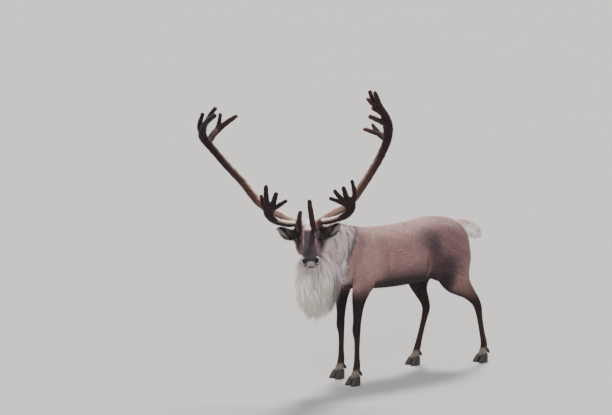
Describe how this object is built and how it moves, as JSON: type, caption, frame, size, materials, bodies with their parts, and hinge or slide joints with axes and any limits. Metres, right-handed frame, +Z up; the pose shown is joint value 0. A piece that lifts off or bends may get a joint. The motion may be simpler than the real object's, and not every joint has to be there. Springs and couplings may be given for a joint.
{
  "type": "caribou",
  "caption": "Bull caribou in velvet antlers, standing with its head turned to its left, with a hanging throat mane, as a still life-size figure.",
  "frame": {"origin": "middle of the box's underside, on the floor under the animal's shoulders", "axes": "-X is the way the animal's body faces, -Y is its left side, +Z is up; the head is turned about 50 degrees to its left"},
  "size_m": [2.2652, 1.1515, 2.1457],
  "materials": {
    "body_coat": "short taupe-brown fur",
    "neck_coat": "long pale fur",
    "leg_coat": "short dark fur",
    "face_coat": "very short dark fur",
    "tail_coat": "long white fur",
    "velvet": "velvet",
    "hoof_horn": "satin horn",
    "eye": "wet"
  },
  "bodies": {
    "root": {"torso_rump": "body_coat", "torso_barrel": "body_coat", "torso_chest": "body_coat", "neck": "neck_coat", "head": "face_coat", "ear_left": "face_coat", "ear_right": "face_coat", "eye_left": "eye", "eye_right": "eye", "tail": "tail_coat", "leg_front_left_upper": "leg_coat", "leg_front_left_lower": "leg_coat", "hoof_front_left_outer": "hoof_horn", "dewclaw_front_left_outer": "hoof_horn", "hoof_front_left_inner": "hoof_horn", "dewclaw_front_left_inner": "hoof_horn", "leg_front_right_upper": "leg_coat", "leg_front_right_lower": "leg_coat", "hoof_front_right_outer": "hoof_horn", "dewclaw_front_right_outer": "hoof_horn", "hoof_front_right_inner": "hoof_horn", "dewclaw_front_right_inner": "hoof_horn", "leg_hind_left_upper": "leg_coat", "leg_hind_left_lower": "leg_coat", "hoof_hind_left_outer": "hoof_horn", "dewclaw_hind_left_outer": "hoof_horn", "hoof_hind_left_inner": "hoof_horn", "dewclaw_hind_left_inner": "hoof_horn", "leg_hind_right_upper": "leg_coat", "leg_hind_right_lower": "leg_coat", "hoof_hind_right_outer": "hoof_horn", "dewclaw_hind_right_outer": "hoof_horn", "hoof_hind_right_inner": "hoof_horn", "dewclaw_hind_right_inner": "hoof_horn", "antler_left_base": "velvet", "antler_left_middle": "velvet", "antler_left_crown": "velvet", "antler_left_rear_tine": "velvet", "antler_left_bez_tine": "velvet", "antler_left_brow_tine": "velvet", "antler_right_base": "velvet", "antler_right_middle": "velvet", "antler_right_crown": "velvet", "antler_right_rear_tine": "velvet", "antler_right_bez_tine": "velvet", "antler_right_brow_tine": "velvet"}
  },
  "joints": []
}
